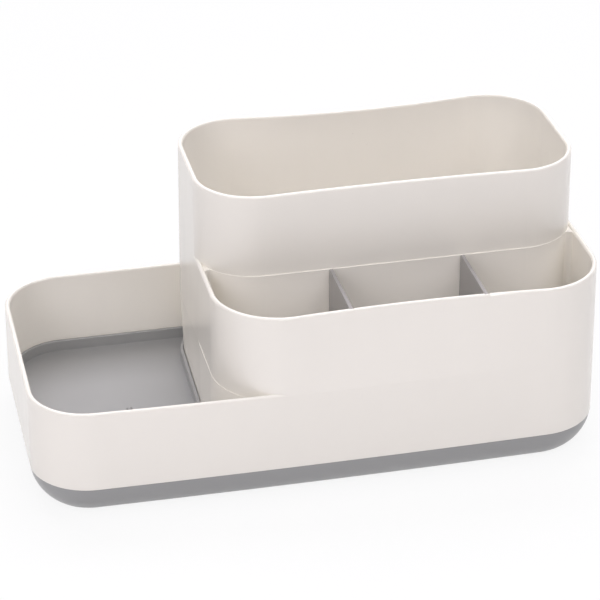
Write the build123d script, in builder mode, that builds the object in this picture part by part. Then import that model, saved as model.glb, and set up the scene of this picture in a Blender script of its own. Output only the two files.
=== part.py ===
"""Desk organizer: a white shell with a low tray, a divided front section and a tall rear bin,
standing on a gray base tray, with two lift-out dividers and four rubber feet."""
from build123d import *
import math
import os

os.makedirs("parts", exist_ok=True)

# Overall sizes, in millimetres. X is the width, Y runs from front to back, Z is up.
length = 291.8          # outside width at the joint between shell and base
depth = 148.4           # outside depth at the joint
joint_z = 16.5          # height of the joint line above the table
tray_z = 59.4           # top of the low tray's rim
front_z = 100.0         # top of the divided front section's rim
bin_z = 142.3           # top of the rear bin's rim
draft = 0.010           # how far each outer wall leans in, per millimetre of height
mid_y = 0.94            # middle of the straight walls, which sets the origin under the middle of the box

# Walls
wall = 2.4
rim_r = wall / 2 - 0.13     # the rims are rolled to a half round
joint_gap = 0.1             # shell over base
ledge_tray = 0.2            # moulding step on the wall beside the tray
ledge_z = 55.5              # height of that step
ledge_end = -5.0            # where it runs out towards the back
ledge_fade = 6.0            # over this length
ledge_bin = 0.45            # moulding step on the bin's front wall
core_lean = 2.2             # the rear end of the wall beside the tray leans back under the step
core_swell = 0.5            # its front end swells out there
bin_lean = 0.8              # the bin's front wall leans back under its step

# Plan
block_x = -53.2             # outer face of the wall between the tray and the front section
bin_y = mid_y - 26.9        # front face of the bin
r_left = 30.5               # left corners of the footprint
r_front_right = 33.0
r_bin = 31.0                # corners of the bin, and the rear right corner below it
r_block = 34.5              # large front left corner of the divided section
r_valley = 2.3              # rounding where the bin's front corners run into the walls beside them

# Slight bows of the long walls, positive towards the inside
bow_joint = -1.1            # front wall at the joint
bow_tray = -2.3             # front wall at the tray's rim
bow_front_rim = 2.6
bow_back_mid = 2.0
bow_back_rim = 4.7
bow_bin_front = 1.5

# Base tray
base_foot_z = 1.0           # lower edge of the skirt
skirt_inset = 8.6           # how far the skirt tucks in
skirt_start = 6.0           # lean of the skirt at the joint, degrees
base_wall = 2.2
floor_z = 15.0              # floor of the low tray
floor_t = 2.0
deck_z = joint_z - joint_gap    # the rest of the floor, level with the joint
lip_z = 20.9                # top of the lip round the tray's floor
lip_t = 1.4                 # lip along the outer walls
lip_beside_t = 1.6          # lip along the wall beside the tray
lip_gap = 0.4
lip_round = 0.5             # rounding of the lip's inner edge
rib_t = 1.6
rib_h = 3.0
rib_xs = (-60.0, 60.0)
nub_x, nub_y = -88.5, 2.0       # small round nub on the tray's floor
nub_r, nub_h = 1.7, 1.5

# Heights of the flat wall tops that carry the half-round rims
tray_top = tray_z - rim_r
front_top = front_z - rim_r
bin_top = bin_z - rim_r
shell_z = joint_z + joint_gap

# Dividers
divider_t = 2.0
divider_xs = (11.9, 80.1)
divider_top = front_z - 0.4
divider_gap = 0.3
divider_front = mid_y - 70.2
divider_rear = mid_y - 26.5
slot_z = deck_z - 1.2       # bottom of the slots that the dividers stand in
divider_bottom = slot_z + divider_gap
groove_side = 0.25
groove_front = divider_front - divider_gap - 0.1

# Feet
foot_x, foot_y = 114.0, 44.0
foot_d = 12.0
foot_t = 2.4
boss_d = 16.0
stem_d = 4.0
stem_h = 5.0
boss_z = 1.6                # lower face of the bosses
stem_fit = 0.15             # play round the feet's stems


def lean(z):
    """Inward shift of an outer wall at height z."""
    return draft * (z - joint_z)


def x_left(z):
    return -length / 2 + lean(z)


def x_right(z):
    return length / 2 - lean(z)


def y_front(z):
    return mid_y - depth / 2 + lean(z)


def y_back(z):
    return mid_y + depth / 2 - lean(z)


def x_block(z):
    return block_x + lean(z)


def y_bin(z):
    return bin_y + lean(z)


def along(z, *stops):
    """Value at height z on straight runs between (height, value) stops, carried on past the ends."""
    pairs = list(zip(stops, stops[1:]))
    for (z0, v0), (z1, v1) in pairs:
        if z <= z1:
            break
    return v0 + (v1 - v0) * (z - z0) / (z1 - z0)


def bow_front(z):
    return along(z, (joint_z, bow_joint), (tray_top, bow_tray), (front_top, bow_front_rim))


def bow_back(z):
    if z <= tray_top:
        return 0.0
    return along(z, (tray_top, 0.0), (front_top, bow_back_mid), (bin_top, bow_back_rim))


def bow_bin(z):
    return 0.0 if z <= front_top else along(z, (front_top, 0.0), (bin_top, bow_bin_front))


def on_arc(center, radius, degrees):
    a = math.radians(degrees)
    return (center[0] + radius * math.cos(a), center[1] + radius * math.sin(a))


def corner(center, radius, a0, a1):
    """Arc of a corner, by its centre, radius and two angles."""
    ThreePointArc(
        on_arc(center, radius, a0),
        on_arc(center, radius, (a0 + a1) / 2),
        on_arc(center, radius, a1),
    )


def side(p, q, turn):
    """Side of an outline from p to q, bowed inwards by an arc that leaves at the angle turn."""
    if abs(turn) < 1e-6:
        Line(p, q)
        return
    dx, dy = q[0] - p[0], q[1] - p[1]
    rise = math.tan(math.radians(turn) / 2) / 2
    ThreePointArc(p, ((p[0] + q[0]) / 2 - dy * rise, (p[1] + q[1]) / 2 + dx * rise), q)


def turn_of(bow, straight):
    """Angle at which a side of this length leaves its corner to reach the bow."""
    return math.degrees(4 * bow / straight)


def front_arc(z):
    """Centre and radius of the arc that the front wall follows, the radius negative where the wall
    swells outwards. Up to the tray's rim it spans the whole body, above it the block."""
    left, r = (x_left(z) + r_left, r_left) if z <= tray_top else (x_block(z) + r_block, r_block)
    right = x_right(z) - r_front_right
    turn = math.radians(turn_of(bow_front(z), right - left))
    reach = (right - left) / 2
    r = (r + r_front_right) / 2
    return ((left + right) / 2, y_front(z) + r - reach / math.tan(turn)), reach / math.sin(turn) - r


def on_front(z, x, inset):
    """Point of the front wall at x, inset from its outer face."""
    (cx, cy), radius = front_arc(z)
    return (x, cy + math.copysign(math.sqrt((radius + inset) ** 2 - (x - cx) ** 2), radius))


def front_corner(z, x, r):
    """Centre of a front corner of radius r that stands at x, and the angle where the front arc meets it."""
    (cx, cy), radius = front_arc(z)
    dx = x - cx
    dy = math.copysign(math.sqrt((radius + r) ** 2 - dx ** 2), radius)
    sign = math.copysign(1, radius)
    return (x, cy + dy), 360 + math.degrees(math.atan2(-sign * dy, -sign * dx))


def body_front(z):
    """Both front corners of the whole body."""
    return (
        front_corner(z, x_left(z) + r_left, r_left),
        front_corner(z, x_right(z) - r_front_right, r_front_right),
    )


def block_front(z):
    """Both front corners of the divided section."""
    return (
        front_corner(z, x_block(z) + r_block, r_block),
        front_corner(z, x_right(z) - r_front_right, r_front_right),
    )


def bin_front(z, front):
    """Both front corners of the bin, its front face set back by front."""
    r = r_bin - front
    x0, x1, y = x_block(z) + r_bin - front, x_right(z) - r_bin + front, y_bin(z) + r_bin
    turn = turn_of(bow_bin(z), x1 - x0)
    return ((x0, y), 270 + turn), ((x1, y), 270 - turn)


def box_lines(x0, x1, y1, radii, front, bow_back=0.0):
    """Rounded rectangle, anticlockwise from the left side; radii run front left, front right,
    rear right, rear left, and front holds the two front corners."""
    fl, fr, br, bl = radii
    (c_fl, a_fl), (c_fr, a_fr) = front
    turn = turn_of(bow_back, x1 - x0 - br - bl)
    c_br = (x1 - br, y1 - br)
    c_bl = (x0 + bl, y1 - bl)
    Line((x0, y1 - bl), (x0, c_fl[1]))
    corner(c_fl, fl, 180, a_fl)
    side(on_arc(c_fl, fl, a_fl), on_arc(c_fr, fr, a_fr), (a_fl - a_fr) / 2)
    corner(c_fr, fr, a_fr, 360)
    Line((x1, c_fr[1]), (x1, y1 - br))
    corner(c_br, br, 0, 90 + turn)
    side(on_arc(c_br, br, 90 + turn), on_arc(c_bl, bl, 90 - turn), turn)
    corner(c_bl, bl, 90 - turn, 180)


def footprint(z, inset=0.0, at=None):
    """Outline of the whole body. The wall positions can be taken at another height."""
    w = z if at is None else at
    with BuildSketch(Plane.XY.offset(z)) as sketch:
        with BuildLine():
            box_lines(
                x_left(w) + inset, x_right(w) - inset, y_back(w) - inset,
                (r_left - inset, r_front_right - inset, r_bin - inset, r_left - inset), body_front(w),
            )
        make_face()
    return sketch.sketch


def block(z):
    """Outline of the divided section and the bin together."""
    with BuildSketch(Plane.XY.offset(z)) as sketch:
        with BuildLine():
            box_lines(
                x_block(z), x_right(z), y_back(z), (r_block, r_front_right, r_bin, r_bin),
                block_front(z), bow_back(z),
            )
        make_face()
    return sketch.sketch


def bin_box(plane_z, inset, front=0.0, at=None):
    """Outline of the bin, its front face set back by front as well."""
    z = plane_z if at is None else at
    with BuildSketch(Plane.XY.offset(plane_z)) as sketch:
        with BuildLine():
            r = r_bin - inset
            box_lines(
                x_block(z) + inset, x_right(z) - inset, y_back(z) - inset,
                (r - front, r - front, r, r), bin_front(z, front), bow_back(z),
            )
        make_face()
    return sketch.sketch


def tray_room(plane_z, inset, at=None, beside=None, step=ledge_tray):
    """Outline of the room in the low tray, inset from the outer walls. Its right side is the
    block's wall, which stands out by the step and leans below it; beside is the inset from that
    wall where it differs."""
    z = plane_z if at is None else at
    out = (inset if beside is None else beside) - wall
    low = max(0.0, (ledge_z - z) / (ledge_z - joint_z + 6))
    x0, y1 = x_left(z) + inset, y_back(z) - inset
    r = r_left - inset
    c_rear = (x_block(z) + r_bin, y_back(z) - r_bin)
    rf, rr = r_block + out + step + low * core_swell, r_bin + out - low * core_lean
    a_rear = 180 - math.degrees(math.asin((y1 - c_rear[1]) / rr))
    # The front wall's arc runs from the left corner to the block's large corner
    (c_left, a_left), (c_front, a_front) = body_front(z)[0], block_front(z)[0]
    (cx, cy), radius = front_arc(z)
    away = math.hypot(c_front[0] - cx, c_front[1] - cy)
    cut = (away ** 2 + rf ** 2 - (radius + inset) ** 2) / (2 * away * rf)
    a_front += -180 + math.degrees(math.acos(cut)) if radius < 0 else -math.degrees(math.acos(cut))
    p, q = on_arc(c_left, r, a_left), on_arc(c_front, rf, a_front)
    turn = math.degrees(math.asin(math.dist(p, q) / (2 * (radius + inset))))

    def beside_block(y, stand):
        share = (y - c_front[1]) / (c_rear[1] - c_front[1])
        return (x_block(z) - out - stand - low * (core_swell - share * (core_swell + core_lean)), y)

    with BuildSketch(Plane.XY.offset(plane_z)) as sketch:
        with BuildLine():
            Line((x0, y1 - r), (x0, c_left[1]))
            corner(c_left, r, 180, a_left)
            side(p, q, turn)
            corner(c_front, rf, a_front, 180)
            Line(on_arc(c_front, rf, 180), beside_block(ledge_end - ledge_fade, step))
            Line(beside_block(ledge_end - ledge_fade, step), beside_block(ledge_end, 0.0))
            Line(beside_block(ledge_end, 0.0), on_arc(c_rear, rr, 180))
            corner(c_rear, rr, 180, a_rear)
            Line(on_arc(c_rear, rr, a_rear), (x0 + r, y1))
            corner((x0 + r, y1 - r), r, 90, 180)
        make_face()
    return sketch.sketch


def valley(center, radius, x):
    """Centre of the rounding at x between a corner of the bin and the wall beside it, and the angle
    where the bin's corner meets it."""
    dx = x - center[0]
    dy = math.sqrt((radius + r_valley) ** 2 - dx ** 2)
    return (x, center[1] - dy), 360 + math.degrees(math.atan2(-dy, dx))


def front_room(z):
    """Outline of the room in the divided section, closed at the back by the bin's front wall,
    which leans back a little towards the floor."""
    x0, x1 = x_block(z) + wall, x_right(z) - wall
    rl, rr = r_block - wall, r_front_right - wall
    rb = r_bin + along(z, (joint_z - 6, -bin_lean), (front_top, 0.0))
    c_left = (x_block(z) + r_bin, y_bin(z) + r_bin)
    c_right = (x_right(z) - r_bin, y_bin(z) + r_bin)
    v_left, a_left = valley(c_left, rb, x0 + r_valley)
    v_right, a_right = valley(c_right, rb, x1 - r_valley)
    (c_fl, a_fl), (c_fr, a_fr) = block_front(z)
    with BuildSketch(Plane.XY.offset(z)) as sketch:
        with BuildLine():
            Line((x0, v_left[1]), (x0, c_fl[1]))
            corner(c_fl, rl, 180, a_fl)
            side(on_arc(c_fl, rl, a_fl), on_arc(c_fr, rr, a_fr), (a_fl - a_fr) / 2)
            corner(c_fr, rr, a_fr, 360)
            Line((x1, c_fr[1]), (x1, v_right[1]))
            corner(v_right, r_valley, 0, a_right - 180)
            corner(c_right, rb, a_right, 270)
            Line(on_arc(c_right, rb, 270), on_arc(c_left, rb, 270))
            corner(c_left, rb, 270, a_left)
            corner(v_left, r_valley, a_left - 180, 180)
        make_face()
    return sketch.sketch


def bead(path):
    """Round section at the start of a rim's path."""
    with BuildSketch(Plane(origin=path @ 0, z_dir=path % 0)) as sketch:
        Circle(rim_r)
    return sketch.sketch


with BuildPart() as shell:
    # Outer form: the footprint up to the tray's rim, the block above it, and the bin above that
    loft([footprint(shell_z), footprint(tray_top)], ruled=True)
    loft([block(tray_top), block(front_top)], ruled=True)
    loft([bin_box(front_top, 0.0, ledge_bin), bin_box(bin_top, 0.0, ledge_bin)], ruled=True)
    # Room in the low tray, open at the top and at the bottom, with the step on its right side
    loft([tray_room(joint_z - 6, wall), tray_room(ledge_z, wall)], ruled=True, mode=Mode.SUBTRACT)
    loft(
        [tray_room(ledge_z, wall, step=0.0), tray_room(tray_top, wall, step=0.0),
         tray_room(tray_top + 4, wall, at=tray_top, step=0.0)],
        ruled=True, mode=Mode.SUBTRACT,
    )
    # Room in the divided front section
    loft(
        [front_room(joint_z - 6), front_room(tray_top), front_room(front_top + 4)],
        ruled=True, mode=Mode.SUBTRACT,
    )
    # Room in the bin
    loft(
        [bin_box(joint_z - 6, wall), bin_box(tray_top, wall), bin_box(front_top, wall, ledge_bin / 2),
         bin_box(bin_top + 4, wall, ledge_bin)],
        ruled=True, mode=Mode.SUBTRACT,
    )
    # Rolled rim of the low tray, its ends buried in the block
    half = wall / 2
    tx, ty = x_left(tray_top) + half, y_back(tray_top) - half
    tr = r_left - half
    c_fl, a_fl = body_front(tray_top)[0]
    p, q = on_arc(c_fl, tr, a_fl), on_front(tray_top, x_block(tray_top) + r_block - 2, half)
    turn = math.degrees(math.asin(math.dist(p, q) / (2 * (front_arc(tray_top)[1] + half))))
    with BuildLine(Plane.XY.offset(tray_top)) as tray_path:
        Line((x_block(tray_top) + r_bin - 2, ty), (tx + tr, ty))
        corner((tx + tr, ty - tr), tr, 90, 180)
        Line((tx, ty - tr), (tx, c_fl[1]))
        corner(c_fl, tr, 180, a_fl)
        side(p, q, turn)
    sweep(bead(tray_path.line), path=tray_path.line)
    # Rolled rim of the divided section, its ends buried in the bin
    fx0, fx1, fy = x_block(front_top) + half, x_right(front_top) - half, y_bin(front_top) + r_bin - 2
    fl, fr = r_block - half, r_front_right - half
    (c_fl, a_fl), (c_fr, a_fr) = block_front(front_top)
    with BuildLine(Plane.XY.offset(front_top)) as front_path:
        Line((fx0, fy), (fx0, c_fl[1]))
        corner(c_fl, fl, 180, a_fl)
        side(on_arc(c_fl, fl, a_fl), on_arc(c_fr, fr, a_fr), (a_fl - a_fr) / 2)
        corner(c_fr, fr, a_fr, 360)
        Line((fx1, c_fr[1]), (fx1, fy))
    sweep(bead(front_path.line), path=front_path.line)
    # Rolled rim of the bin, all the way round
    br = r_bin - half
    with BuildLine(Plane.XY.offset(bin_top)) as bin_path:
        box_lines(
            x_block(bin_top) + half, x_right(bin_top) - half, y_back(bin_top) - half,
            (br - ledge_bin, br - ledge_bin, br, br), bin_front(bin_top, ledge_bin), bow_back_rim,
        )
    sweep(bead(bin_path.line), path=bin_path.line)
    # Upright grooves that hold the front edges of the dividers
    with BuildSketch(Plane.XY.offset(slot_z)):
        for x in divider_xs:
            with Locations((x, groove_front)):
                Rectangle(divider_t + 2 * groove_side, 8, align=(Align.CENTER, Align.MIN))
    extrude(amount=bin_z, mode=Mode.SUBTRACT)
shell.part.label = "body_shell"
export_step(shell.part, "parts/body_shell.step")


# Base tray: a curved skirt that tucks in under the shell, a floor, and an upright lip in the low tray
tuck, drop = skirt_inset - joint_gap, joint_z - joint_gap - base_foot_z
skirt_end = 2 * math.degrees(math.atan2(tuck, drop)) - skirt_start
skirt_r = math.hypot(tuck, drop) / (2 * math.sin(math.radians(skirt_end - skirt_start) / 2))


def skirt(degrees, inside=0.0):
    """Point of the skirt's section where it leans by this angle, as inset and height over the joint."""
    a, a0 = math.radians(degrees), math.radians(skirt_start)
    return (
        joint_gap + skirt_r * (math.cos(a0) - math.cos(a)) + inside * math.cos(a),
        -joint_gap - skirt_r * (math.sin(a) - math.sin(a0)) + inside * math.sin(a),
    )


# Section of the lip's inner face, as height and inset from its upright part, rounded at the top
steps = 6
lip_section = [(floor_z, 0.0)]
for i in range(steps + 1):
    a = math.pi / 2 * i / steps
    lip_section.append((lip_z - lip_round * (1 - math.sin(a)), -lip_round * (1 - math.cos(a))))
lip_section.append((lip_z + 2, -lip_round))


def lip_room(z, shift):
    """Outline of the space inside the tray's lip."""
    edge = wall + lip_gap + shift
    return tray_room(z, edge + lip_t, at=lip_z, beside=edge + lip_beside_t)


with BuildPart() as base:
    with BuildLine(Plane.XY.offset(joint_z)) as skirt_path:
        box_lines(
            x_left(joint_z), x_right(joint_z), y_back(joint_z),
            (r_left, r_front_right, r_bin, r_left), body_front(joint_z),
        )
    with BuildSketch(Plane(origin=skirt_path.line @ 0, x_dir=(1, 0, 0), z_dir=skirt_path.line % 0)):
        with BuildLine():
            low, top = skirt(skirt_end), skirt(skirt_start)
            inner_low, inner_top = skirt(skirt_end - 4, base_wall), skirt(skirt_start + 12, base_wall)
            mid, inner_mid = (skirt_start + skirt_end) / 2, (skirt_start + skirt_end + 8) / 2
            ThreePointArc(top, skirt(mid), low)
            Line(low, (low[0] + base_wall, low[1]))
            Line((low[0] + base_wall, low[1]), inner_low)
            ThreePointArc(inner_low, skirt(inner_mid, base_wall), inner_top)
            Line(inner_top, (inner_top[0] + 0.2, top[1]))
            Line((inner_top[0] + 0.2, top[1]), top)
        make_face()
    sweep(path=skirt_path.line)
    # Floor, with low stiffening ribs below it
    add(footprint(floor_z - floor_t, base_wall, joint_z))
    extrude(amount=deck_z - floor_z + floor_t)
    with BuildSketch(Plane.XY.offset(floor_z - floor_t - rib_h)):
        Rectangle(length - 8.0, rib_t)
        for x in rib_xs:
            with Locations((x, 0)):
                Rectangle(rib_t, depth - 8.0)
    extrude(amount=rib_h + 0.5)
    # Lip that stands inside the low tray and holds the shell in place, round the lowered floor
    extrude(tray_room(floor_z, wall + lip_gap, at=lip_z), amount=lip_z - floor_z)
    loft([lip_room(z, shift) for z, shift in lip_section], ruled=True, mode=Mode.SUBTRACT)
    # Slots in the floor for the dividers
    with BuildSketch(Plane.XY.offset(slot_z)):
        for x in divider_xs:
            with Locations((x, (divider_front + divider_rear) / 2)):
                Rectangle(divider_t + 2 * groove_side, divider_rear - divider_front + 2 * divider_gap)
    extrude(amount=lip_z - slot_z, mode=Mode.SUBTRACT)
    # Small round nub on the tray's floor
    with BuildSketch(Plane(origin=(nub_x, nub_y, floor_z), x_dir=(1, 0, 0), z_dir=(0, -1, 0))):
        with BuildLine():
            dome = (nub_r ** 2 + nub_h ** 2) / (2 * nub_h)
            Line((0, nub_h), (0, -0.5))
            Line((0, -0.5), (nub_r, -0.5))
            Line((nub_r, -0.5), (nub_r, 0))
            RadiusArc((nub_r, 0), (0, nub_h), -dome)
        make_face()
    revolve(axis=Axis((nub_x, nub_y, floor_z), (0, 0, 1)))
    # Bosses for the feet
    with BuildSketch(Plane.XY.offset(boss_z)):
        with GridLocations(2 * foot_x, 2 * foot_y, 2, 2):
            Circle(boss_d / 2)
    extrude(amount=floor_z - floor_t - boss_z + 0.5)
    with BuildSketch(Plane.XY.offset(boss_z)):
        with GridLocations(2 * foot_x, 2 * foot_y, 2, 2):
            Circle(foot_d / 2 + stem_fit)
    extrude(amount=foot_t - boss_z, mode=Mode.SUBTRACT)
    with BuildSketch(Plane.XY.offset(foot_t)):
        with GridLocations(2 * foot_x, 2 * foot_y, 2, 2):
            Circle(stem_d / 2 + stem_fit)
    extrude(amount=stem_h + 2 * stem_fit, mode=Mode.SUBTRACT)
base.part.label = "base_tray"
export_step(base.part, "parts/base_tray.step")

# Dividers: flat plates with rounded upper corners and a softened top edge
for name, x in zip(("divider_left", "divider_right"), divider_xs):
    with BuildPart() as divider:
        with BuildSketch(Plane.YZ.offset(x - divider_t / 2)):
            with Locations(((divider_front + divider_rear) / 2, (divider_bottom + divider_top) / 2)):
                Rectangle(divider_rear - divider_front, divider_top - divider_bottom)
        extrude(amount=divider_t)
        fillet(divider.edges().filter_by(Axis.X).group_by(Axis.Z)[-1], 1.2)
        fillet(divider.faces().sort_by(Axis.X)[0].edges(), 0.4)
        fillet(divider.faces().sort_by(Axis.X)[-1].edges(), 0.4)
    divider.part.label = name
    export_step(divider.part, f"parts/{name}.step")

# Feet: rubber discs with a stem that pushes into the boss
for name, sx, sy in (
    ("foot_front_left", -1, -1),
    ("foot_front_right", 1, -1),
    ("foot_rear_left", -1, 1),
    ("foot_rear_right", 1, 1),
):
    with BuildPart() as foot:
        with BuildSketch():
            with Locations((sx * foot_x, sy * foot_y)):
                Circle(foot_d / 2)
        extrude(amount=foot_t)
        fillet(foot.edges().group_by(Axis.Z)[0], 0.6)
        with BuildSketch(Plane.XY.offset(foot_t)):
            with Locations((sx * foot_x, sy * foot_y)):
                Circle(stem_d / 2)
        extrude(amount=stem_h)
        chamfer(foot.edges().group_by(Axis.Z)[-1], 0.5)
    foot.part.label = name
    export_step(foot.part, f"parts/{name}.step")
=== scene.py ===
"""Desk organizer: finishes for its moulded pieces, the studio that lights it, and the camera."""

import math

import bmesh
import bpy
from bpy.props import FloatProperty, FloatVectorProperty, PointerProperty
from bpy.types import Operator, Panel, PropertyGroup
from mathutils import Euler, Matrix, Vector

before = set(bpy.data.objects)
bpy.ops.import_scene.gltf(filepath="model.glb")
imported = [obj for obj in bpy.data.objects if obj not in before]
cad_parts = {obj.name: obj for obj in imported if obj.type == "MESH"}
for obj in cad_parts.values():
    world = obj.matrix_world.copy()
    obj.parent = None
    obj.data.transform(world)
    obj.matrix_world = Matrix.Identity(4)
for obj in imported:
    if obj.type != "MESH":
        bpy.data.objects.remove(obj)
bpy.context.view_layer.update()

bl_info = {
    "name": "Desk Organizer",
    "version": (1, 0, 0),
    "blender": (4, 5, 0),
    "location": "View3D > Sidebar > Organizer",
    "description": "Finishes a stepped desk organizer and sets up its studio",
    "category": "Object",
}

# Camera
PHOTO_WIDTH = 600          # pixels across the photograph
SENSOR_WIDTH = 36.0        # millimetres
FOCAL_PIXELS = 2442.2      # focal length fitted to the photograph

# Studio, in metres
FLOOR_REACH = 3.0          # from the middle of the floor to its edges
FLOOR_DROP = 0.0002        # keeps the floor apart from the faces that stand on it
FLOOR_WHITE = 0.88         # share of plain white in the floor as it is seen; the rest carries the shadow
WHITE = (1.0, 1.0, 1.0, 1.0)
LAMP_COLOR = (1.0, 0.976, 1.03)
LAMP_AIM = (0.0, 0.0, 0.06)
LAMPS = {
    # name: place, width and height
    "high": ((0.1, -1.0, 1.2), (1.0, 0.8)),
    "left": ((-0.9, -0.3, 1.2), (0.9, 0.9)),
    "front_left": ((-1.0, -1.0, 0.8), (0.9, 0.9)),
    "right": ((0.9, -0.3, 1.2), (0.9, 0.9)),
    "rear": ((0.1, 0.75, 1.3), (1.6, 0.8)),
}

# Finishes: pattern scales are per metre, depths are in metres
PLASTIC_IOR = 1.5
NOISE_MIDDLE = 0.5         # mean of a noise
CLOUD_SCALE = 11.0
STREAK_SCALE = 85.0
STREAK_STRETCH = (1.0, 1.0, 0.16)
CLOUD_SHARE = 0.7          # of the tint; the rest follows the streaks
TINT_GAINS = (0.975, 1.02)
GLOSS_RANGE = 0.05         # of roughness, for the clouds and for the streaks
SPECK_SCALE = 95.0
SPECK_RADIUS = 0.034       # in the pattern's own units
SPECK_SPREAD = 37.0        # scale of the noise that thins the specks out
SPECK_STRENGTH = 0.35
SPECK_GAIN = 0.55
SWELL_SCALE = 16.0
SWELL_DEPTH = 0.0002
PEEL_SCALE = 420.0
DUST_SCALE = 320.0
DUST_GAINS = (0.8, 1.7)
DUST_DULLING = 0.15        # of roughness
GRAIN_SCALE = 3500.0
GRAIN_DEPTH = 0.00003


def color_property(label, words, default):
    """Colour that a user can change, in linear light."""
    return FloatVectorProperty(
        name=label, description=words, default=default, subtype="COLOR", size=3, min=0.0, max=1.0
    )


def share_property(label, words, default):
    """Plain share from 0 to 1."""
    return FloatProperty(name=label, description=words, default=default, min=0.0, max=1.0, subtype="FACTOR")


def power_property(label, words, default):
    """Power of a lamp, in watts."""
    return FloatProperty(name=label, description=words, default=default, min=0.0, unit="POWER")


def angle_property(label, words, degrees):
    """Angle whose default is given in degrees."""
    return FloatProperty(name=label, description=words, default=math.radians(degrees), subtype="ANGLE")


class FinishSettings(PropertyGroup):
    """Colours and gloss of the moulded pieces and the feet."""

    shell_color: color_property("Shell", "Warm white of the shell", (0.928, 0.893, 0.818))
    shell_roughness: share_property("Shell roughness", "Gloss of the shell, 0 is a mirror", 0.24)
    base_color: color_property("Base", "Gray of the base tray", (0.345, 0.346, 0.342))
    base_roughness: share_property("Base roughness", "Gloss of the base tray", 0.33)
    divider_color: color_property("Dividers", "Gray of the dividers", (0.328, 0.315, 0.307))
    divider_roughness: share_property("Divider roughness", "Gloss of the dividers", 0.33)
    foot_color: color_property("Feet", "Dark gray of the rubber feet", (0.045, 0.045, 0.047))
    foot_roughness: share_property("Foot roughness", "Dullness of the rubber", 0.75)


class StageSettings(PropertyGroup):
    """Floor, lamps and camera."""

    floor_color: color_property("Floor", "Pale floor", (0.87, 0.87, 0.87))
    world_strength: FloatProperty(
        name="Room light", description="Even light from all round", default=0.03, min=0.0
    )
    high_power: power_property("High lamp", "Softbox above the camera", 6.8)
    left_power: power_property("Left lamp", "High softbox at the left", 4.5)
    front_left_power: power_property("Front left lamp", "Softbox left of the camera", 5.8)
    right_power: power_property("Right lamp", "High softbox at the right", 6.2)
    rear_power: power_property("Rear lamp", "High softbox behind the object", 17.2)
    camera_place: FloatVectorProperty(
        name="Camera", description="Place of the camera", default=(-0.24046, -1.07651, 0.66862),
        subtype="XYZ", unit="LENGTH", size=3,
    )
    camera_azimuth: angle_property("Azimuth", "Turn of the camera to the left of the front", 12.681)
    camera_elevation: angle_property("Elevation", "How far the camera looks down", 28.509)
    camera_roll: angle_property("Roll", "Lean of the camera", -0.155)


class Value:
    """Shader socket that takes part in arithmetic: each operation adds one Math node."""

    def __init__(self, shader, socket):
        self.shader = shader
        self.socket = socket

    def math(self, operation, first, second):
        return self.shader.node("ShaderNodeMath", {"operation": operation}, {0: first, 1: second})

    def __add__(self, other):
        return self.math("ADD", self, other)

    __radd__ = __add__

    def __mul__(self, other):
        return self.math("MULTIPLY", self, other)

    __rmul__ = __mul__

    def __sub__(self, other):
        return self.math("SUBTRACT", self, other)

    def __rsub__(self, other):
        return self.math("SUBTRACT", other, self)

    def __lt__(self, other):
        return self.math("LESS_THAN", self, other)

    def __gt__(self, other):
        return self.math("GREATER_THAN", self, other)


class Shader:
    """Node tree of a material or a world."""

    def __init__(self, owner):
        owner.use_nodes = True
        self.tree = owner.node_tree
        self.tree.nodes.clear()

    def node(self, kind, settings=None, sockets=None, output=0):
        """Adds a node of any kind: its settings first, then the values or links of its sockets."""
        made = self.tree.nodes.new(kind)
        for name, setting in (settings or {}).items():
            setattr(made, name, setting)
        for name, value in (sockets or {}).items():
            if isinstance(value, Value):
                self.tree.links.new(value.socket, made.inputs[name])
            else:
                made.inputs[name].default_value = value
        return Value(self, made.outputs[output]) if made.outputs else made

    def place(self):
        """Object coordinates, in metres."""
        return self.node("ShaderNodeTexCoord", output="Object")

    def stretched(self, place, scale):
        """Coordinates scaled along each axis, which stretches a pattern."""
        return self.node("ShaderNodeMapping", {}, {"Vector": place, "Scale": scale})

    def noise(self, place, scale, detail=2.0, roughness=0.5):
        """Cloudy value from 0 to 1."""
        sockets = {"Vector": place, "Scale": scale, "Detail": detail, "Roughness": roughness}
        return self.node("ShaderNodeTexNoise", {}, sockets)

    def blend(self, share, first, second):
        """Colour between two colours."""
        return self.node(
            "ShaderNodeMix", {"data_type": "RGBA"}, {0: share, 6: first, 7: second}, output=2
        )

    def relief(self, height, distance, under=None):
        """Normal of a surface with this height, in metres from 0 to distance, over another relief."""
        sockets = {"Height": height, "Distance": distance, "Strength": 1.0}
        if under is not None:
            sockets["Normal"] = under
        return self.node("ShaderNodeBump", {}, sockets)

    def surface(self, color, roughness, normal):
        """Principled surface with the usual refraction of plastic, joined to the material's output."""
        sockets = {"Base Color": color, "Roughness": roughness, "IOR": PLASTIC_IOR, "Normal": normal}
        finish = self.node("ShaderNodeBsdfPrincipled", {}, sockets)
        self.node("ShaderNodeOutputMaterial", {}, {"Surface": finish})

    def seen_directly(self):
        """1 for rays that show the surroundings themselves: camera, gloss and glass."""
        rays = ("Is Camera Ray", "Is Glossy Ray", "Is Transmission Ray")
        camera, gloss, glass = (self.node("ShaderNodeLightPath", output=ray) for ray in rays)
        return camera + gloss + glass > 0.5


def rgba(color, gain=1.0):
    """Colour with an alpha, brightened or darkened."""
    return (*(min(1.0, c * gain) for c in color), 1.0)


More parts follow.
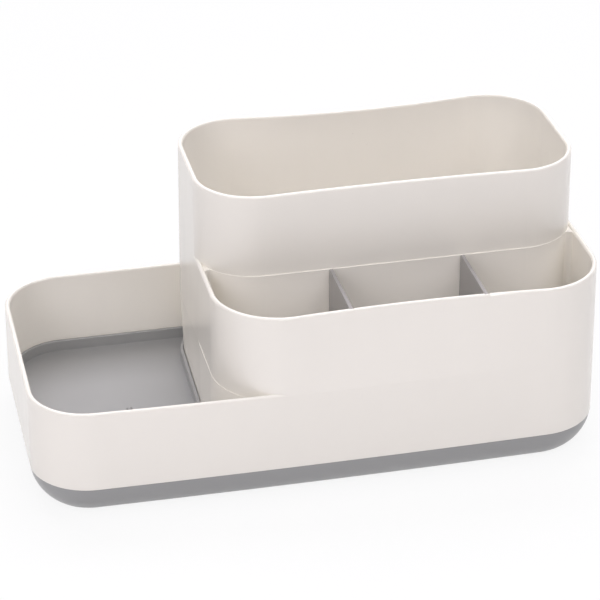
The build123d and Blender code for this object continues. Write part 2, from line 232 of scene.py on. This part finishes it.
def moulded_plastic(name, color, roughness, speck_share, peel_depth):
    """Smooth injection moulding: clouds and flow streaks, specks, orange peel and a slow swell."""
    material = bpy.data.materials.new(name)
    shader = Shader(material)
    place = shader.place()
    cloud = shader.noise(place, CLOUD_SCALE, detail=3.0)
    streak = shader.noise(shader.stretched(place, STREAK_STRETCH), STREAK_SCALE, detail=3.0)
    shade = cloud * CLOUD_SHARE + streak * (1.0 - CLOUD_SHARE)
    tint = shader.blend(shade, *(rgba(color, gain) for gain in TINT_GAINS))
    cell = shader.node(
        "ShaderNodeTexVoronoi", {"feature": "F1"}, {"Vector": place, "Scale": SPECK_SCALE}, output="Distance"
    )
    chance = shader.noise(place, SPECK_SPREAD, detail=0.0)
    speck = (cell < SPECK_RADIUS) * (chance > 1.0 - speck_share)
    stained = shader.blend(speck * SPECK_STRENGTH, tint, rgba(color, SPECK_GAIN))
    gloss = roughness + (cloud - NOISE_MIDDLE) * GLOSS_RANGE + (streak - NOISE_MIDDLE) * GLOSS_RANGE
    swell = shader.relief(shader.noise(place, SWELL_SCALE, detail=1.0), SWELL_DEPTH)
    peel = shader.relief(shader.noise(place, PEEL_SCALE), peel_depth, swell)
    shader.surface(stained, gloss, peel)
    return material


def soft_rubber(name, color, roughness):
    """Dull rubber with a fine grain and a little dust."""
    material = bpy.data.materials.new(name)
    shader = Shader(material)
    place = shader.place()
    dust = shader.noise(place, DUST_SCALE, detail=4.0, roughness=0.6)
    tint = shader.blend(dust, *(rgba(color, gain) for gain in DUST_GAINS))
    grain = shader.relief(shader.noise(place, GRAIN_SCALE), GRAIN_DEPTH)
    shader.surface(tint, roughness + (dust - NOISE_MIDDLE) * DUST_DULLING, grain)
    return material


def finish_nodes(names, material):
    """Gives the CAD nodes this material in place of their own."""
    for name in names:
        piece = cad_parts[name]
        for slot in piece.material_slots:
            slot.material = material


class ORGANIZER_OT_shell(Operator):
    """Finish the white shell"""

    bl_idname = "organizer.shell"
    bl_label = "Shell"

    def execute(self, context):
        finish = context.scene.organizer_finish
        material = moulded_plastic(
            "white_moulding", finish.shell_color, finish.shell_roughness,
            speck_share=0.32, peel_depth=0.0000015,
        )
        finish_nodes(["body_shell"], material)
        return {"FINISHED"}


class ORGANIZER_OT_base(Operator):
    """Finish the gray base tray"""

    bl_idname = "organizer.base"
    bl_label = "Base tray"

    def execute(self, context):
        finish = context.scene.organizer_finish
        material = moulded_plastic(
            "gray_moulding", finish.base_color, finish.base_roughness,
            speck_share=0.28, peel_depth=0.0000015,
        )
        finish_nodes(["base_tray"], material)
        return {"FINISHED"}


class ORGANIZER_OT_dividers(Operator):
    """Finish the two lift-out dividers"""

    bl_idname = "organizer.dividers"
    bl_label = "Dividers"

    def execute(self, context):
        finish = context.scene.organizer_finish
        material = moulded_plastic(
            "divider_moulding", finish.divider_color, finish.divider_roughness,
            speck_share=0.28, peel_depth=0.000002,
        )
        finish_nodes(["divider_left", "divider_right"], material)
        return {"FINISHED"}


class ORGANIZER_OT_feet(Operator):
    """Finish the four rubber feet"""

    bl_idname = "organizer.feet"
    bl_label = "Feet"

    def execute(self, context):
        finish = context.scene.organizer_finish
        material = soft_rubber("foot_rubber", finish.foot_color, finish.foot_roughness)
        finish_nodes([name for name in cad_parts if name.startswith("foot_")], material)
        return {"FINISHED"}


def studio_world(strength):
    """Even room light that shows as white."""
    world = bpy.data.worlds.new("studio")
    shader = Shader(world)
    level = strength + shader.seen_directly() * (1.0 - strength)
    light = shader.node("ShaderNodeBackground", {}, {"Color": WHITE, "Strength": level})
    shader.node("ShaderNodeOutputWorld", {}, {"Surface": light})
    return world


def floor_material(color):
    """Pale floor that shows as white and keeps a soft shadow."""
    material = bpy.data.materials.new("studio_floor")
    shader = Shader(material)
    matt = shader.node("ShaderNodeBsdfDiffuse", {}, {"Color": rgba(color)})
    white = shader.node("ShaderNodeEmission", {}, {"Color": WHITE, "Strength": 1.0})
    share = shader.seen_directly() * FLOOR_WHITE
    mix = shader.node("ShaderNodeMixShader", {}, {0: share, 1: matt, 2: white})
    shader.node("ShaderNodeOutputMaterial", {}, {"Surface": mix})
    return material


def add_floor(scene, color):
    """Level floor that the object stands on."""
    mesh = bpy.data.meshes.new("floor")
    shape = bmesh.new()
    bmesh.ops.create_grid(shape, x_segments=1, y_segments=1, size=FLOOR_REACH)
    shape.to_mesh(mesh)
    shape.free()
    mesh.materials.append(floor_material(color))
    floor = bpy.data.objects.new("floor", mesh)
    floor.location.z = -FLOOR_DROP
    scene.collection.objects.link(floor)


def add_softbox(scene, name, place, size, power):
    """Rectangular lamp that points at the object and isn't seen by the camera."""
    lamp = bpy.data.lights.new(name, "AREA")
    lamp.color = LAMP_COLOR
    lamp.shape = "RECTANGLE"
    lamp.size, lamp.size_y = size
    lamp.energy = power
    holder = bpy.data.objects.new(name, lamp)
    holder.visible_camera = False
    holder.location = place
    holder.rotation_euler = (Vector(LAMP_AIM) - Vector(place)).to_track_quat("-Z", "Y").to_euler()
    scene.collection.objects.link(holder)


def add_camera(scene, stage):
    """Camera at the place that was fitted to the photograph."""
    lens = bpy.data.cameras.new("camera")
    lens.sensor_width = SENSOR_WIDTH
    lens.lens = FOCAL_PIXELS * SENSOR_WIDTH / PHOTO_WIDTH
    camera = bpy.data.objects.new("camera", lens)
    tilt = Euler((math.pi / 2 - stage.camera_elevation, 0.0, -stage.camera_azimuth)).to_matrix()
    roll = Matrix.Rotation(stage.camera_roll, 3, "Z")
    camera.rotation_euler = (tilt @ roll).to_euler()
    camera.location = stage.camera_place
    scene.collection.objects.link(camera)
    scene.camera = camera


class ORGANIZER_OT_stage(Operator):
    """Set up the floor, the lamps and the camera"""

    bl_idname = "organizer.stage"
    bl_label = "Stage"

    def execute(self, context):
        scene = context.scene
        stage = scene.organizer_stage
        scene.view_settings.view_transform = "Standard"
        scene.world = studio_world(stage.world_strength)
        add_floor(scene, stage.floor_color)
        for name, (place, size) in LAMPS.items():
            add_softbox(scene, f"{name}_lamp", place, size, getattr(stage, f"{name}_power"))
        add_camera(scene, stage)
        return {"FINISHED"}


class ORGANIZER_PT_panel(Panel):
    """Sidebar panel with the organizer's settings and steps"""

    bl_idname = "ORGANIZER_PT_panel"
    bl_label = "Desk Organizer"
    bl_space_type = "VIEW_3D"
    bl_region_type = "UI"
    bl_category = "Organizer"

    def draw(self, context):
        for group in (context.scene.organizer_finish, context.scene.organizer_stage):
            box = self.layout.box()
            for name in type(group).__annotations__:
                box.prop(group, name)
        for step in STEPS:
            self.layout.operator(step.bl_idname)


STEPS = (
    ORGANIZER_OT_shell,
    ORGANIZER_OT_base,
    ORGANIZER_OT_dividers,
    ORGANIZER_OT_feet,
    ORGANIZER_OT_stage,
)
CLASSES = (FinishSettings, StageSettings, *STEPS, ORGANIZER_PT_panel)


def register():
    for made in CLASSES:
        bpy.utils.register_class(made)
    bpy.types.Scene.organizer_finish = PointerProperty(type=FinishSettings)
    bpy.types.Scene.organizer_stage = PointerProperty(type=StageSettings)


def unregister():
    del bpy.types.Scene.organizer_stage
    del bpy.types.Scene.organizer_finish
    for made in reversed(CLASSES):
        bpy.utils.unregister_class(made)


def main():
    register()
    bpy.ops.organizer.shell()
    bpy.ops.organizer.base()
    bpy.ops.organizer.dividers()
    bpy.ops.organizer.feet()
    bpy.ops.organizer.stage()


if __name__ == "__main__":
    main()
